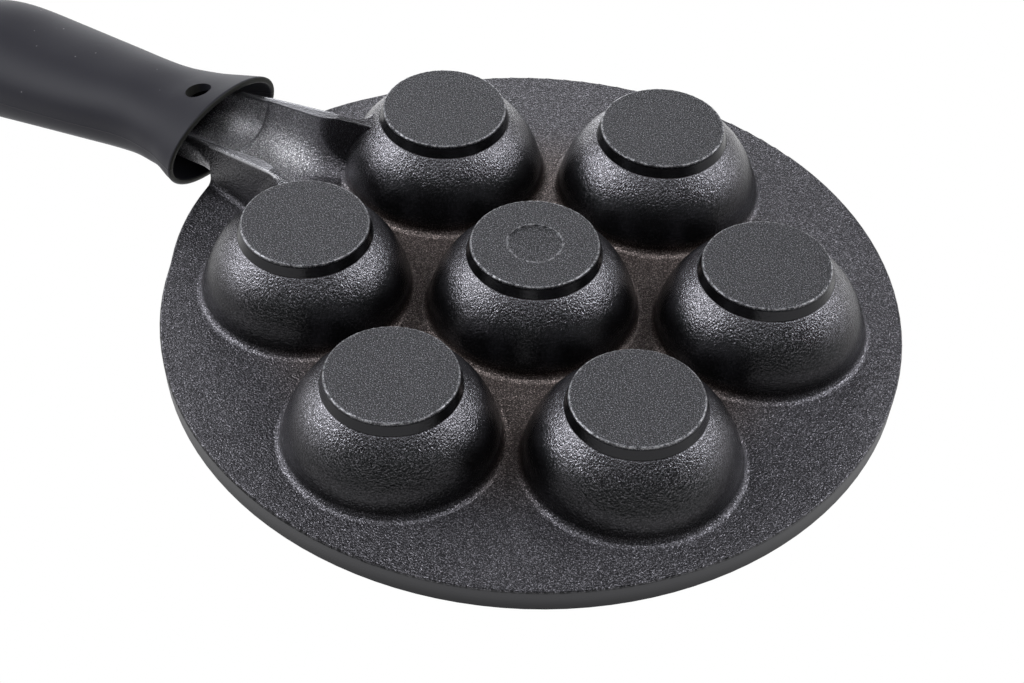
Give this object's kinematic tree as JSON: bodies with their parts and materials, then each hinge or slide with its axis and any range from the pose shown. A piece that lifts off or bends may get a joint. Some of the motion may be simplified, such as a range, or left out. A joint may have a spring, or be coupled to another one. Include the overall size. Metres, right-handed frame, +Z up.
{
  "type": "aebleskiver pan",
  "caption": "Round cast iron stuffed-pancake pan with domed wells standing on flat feet, a trough-shaped neck and a pull-on silicone grip with a flared mouth.",
  "frame": {"origin": "on the plane the seven feet stand on, under the middle of the middle well", "axes": "+Z up out of the wells as the pan stands for use, +X towards the handle, +Y across. The picture shows the pan upside down, resting on its rim."},
  "size_m": [0.3782, 0.231, 0.0557],
  "materials": {
    "iron": "seasoned, satin over a sandy cast skin",
    "silicone": "matte"
  },
  "bodies": {
    "casting": {"pan_casting": "iron"},
    "grip": {"grip_sleeve": "silicone"}
  },
  "joints": [
    {"name": "grip_pull_off", "type": "slide", "parent": "casting", "child": "grip", "axis": [0.9842, 0, 0.1771], "range_m": [0, 0.12]}
  ]
}
